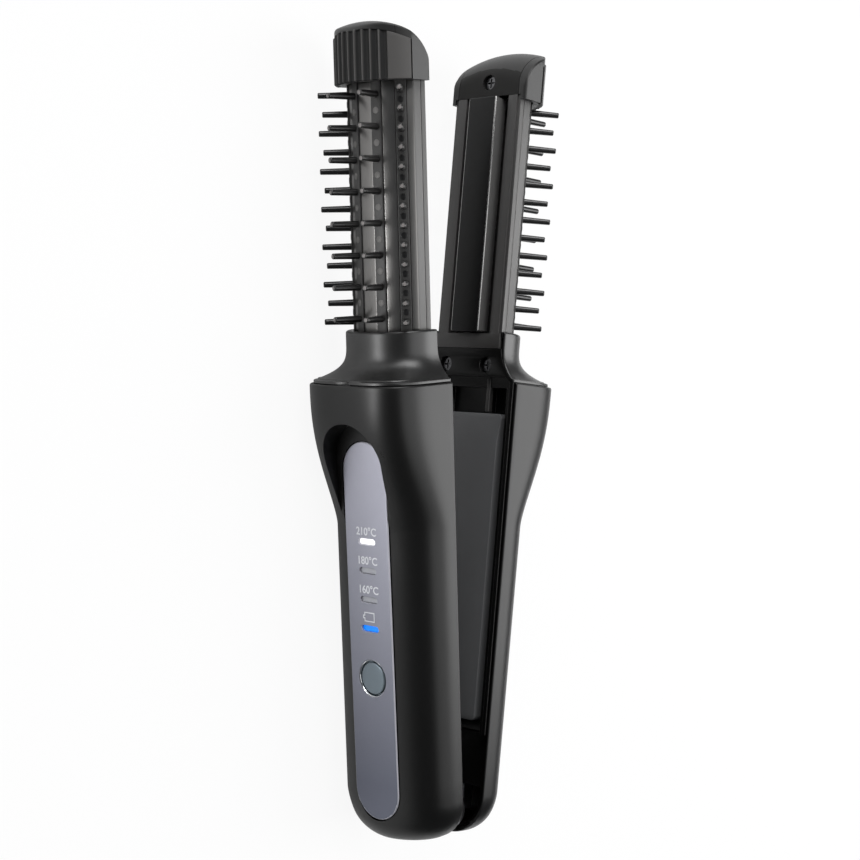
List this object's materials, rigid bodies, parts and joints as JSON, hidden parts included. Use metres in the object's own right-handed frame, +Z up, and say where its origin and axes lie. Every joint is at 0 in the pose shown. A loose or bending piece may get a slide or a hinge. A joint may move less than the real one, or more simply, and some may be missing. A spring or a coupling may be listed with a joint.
{
  "type": "hair volumizing iron",
  "caption": "Cordless hair volumizing iron: hinged arms with pinned round barrels outside and flat heated plates inside, sprung open, with a control panel on the handle.",
  "frame": {"origin": "centre of the base of the bounding box, where the opened iron lies on its flat side", "axes": "+Z up from the surface it lies on, +Y from the tail of the handles towards the tips of the barrels, +X from the front arm, which has the control panel, towards the rear arm"},
  "size_m": [0.0805, 0.2268, 0.0395],
  "materials": {
    "casing": "satin black with a very fine grain",
    "liner": "matte black",
    "inner_block": "matte dark grey, fine texture",
    "neck": "satin black",
    "cap": "matte dark grey",
    "barrel_frame": "matte dark grey",
    "barrel_shell": "satin gunmetal anodising",
    "pins": "black, slightly glossy",
    "plate": "dark ceramic coating, satin, with a polished edge",
    "heater": "cream ceramic",
    "spring_steel": "bright spring steel",
    "lead": "silicone insulation",
    "battery_lead": "silicone insulation",
    "dark_screw": "blackened",
    "hinge_steel": "plain",
    "panel": "lilac grey satin lacquer",
    "button": "blue grey satin",
    "bright_ring": "polished",
    "window_white": "translucent, lit white",
    "window_grey": "translucent, unlit",
    "window_blue": "translucent, lit blue",
    "led": "clear resin over phosphor",
    "board": "green solder mask",
    "chip": "black moulding",
    "switch_metal": "stamped",
    "socket_metal": "plated",
    "battery": "shrink film"
  },
  "bodies": {
    "front_arm": {"front_casing": "casing", "front_liner": "liner", "front_inner_cover": "inner_block", "front_neck": "neck", "front_cap": "cap", "front_barrel_frame": "barrel_frame", "front_barrel_shell": "barrel_shell", "front_pin_strip_1": "pins", "front_pin_strip_2": "pins", "front_pin_strip_3": "pins", "front_pin_strip_4": "pins", "front_plate_springs": "spring_steel", "front_shell_heater": "heater", "front_heater_leads": "lead", "front_cap_screw": "dark_screw", "front_neck_screws": "dark_screw", "front_hinge_bracket": "hinge_steel", "front_hinge_screws": "dark_screw", "control_panel": "panel", "button_ring": "bright_ring", "tact_switch": "switch_metal", "indicator_210": "window_white", "indicator_180": "window_grey", "indicator_160": "window_grey", "indicator_battery": "window_blue", "indicator_leds": "led", "circuit_board": "board", "board_chips": "chip", "charging_socket": "socket_metal", "hinge_pin": "hinge_steel", "hinge_spring": "spring_steel"},
    "front_plate": {"front_heater_plate": "plate", "front_plate_heater": "heater"},
    "button": {"power_button": "button", "switch_plunger": "chip"},
    "rear_arm": {"rear_casing": "casing", "rear_liner": "liner", "battery_housing": "inner_block", "rear_neck": "neck", "rear_cap": "cap", "rear_barrel_frame": "barrel_frame", "rear_barrel_shell": "barrel_shell", "rear_pin_strip_1": "pins", "rear_pin_strip_2": "pins", "rear_pin_strip_3": "pins", "rear_pin_strip_4": "pins", "rear_plate_springs": "spring_steel", "rear_shell_heater": "heater", "rear_heater_leads": "lead", "rear_cap_screw": "dark_screw", "rear_neck_screws": "dark_screw", "rear_hinge_bracket": "hinge_steel", "rear_hinge_screws": "dark_screw", "battery_cell": "battery", "battery_leads": "battery_lead"},
    "rear_plate": {"rear_heater_plate": "plate", "rear_plate_heater": "heater"}
  },
  "joints": [
    {"name": "arm_hinge", "type": "hinge", "parent": "front_arm", "child": "rear_arm", "pos_m": [-0.01333, -0.10476, 0.01975], "axis": [0, 0, 1], "range_deg": [0, 9.73], "stiffness_Nm_per_rad": 0.8, "springref_deg": -8.59},
    {"name": "front_plate_float", "type": "slide", "parent": "front_arm", "child": "front_plate", "axis": [-1, 0, 0], "range_m": [0, 0.0008], "stiffness_N_per_m": 1500, "springref_m": -0.001},
    {"name": "rear_plate_float", "type": "slide", "parent": "rear_arm", "child": "rear_plate", "axis": [0.9877, -0.1564, 0], "range_m": [0, 0.0008], "stiffness_N_per_m": 1500, "springref_m": -0.001},
    {"name": "button_press", "type": "slide", "parent": "front_arm", "child": "button", "axis": [0.9999, 0.0157, 0], "range_m": [0, 0.0005], "stiffness_N_per_m": 600, "springref_m": -0.0008}
  ]
}
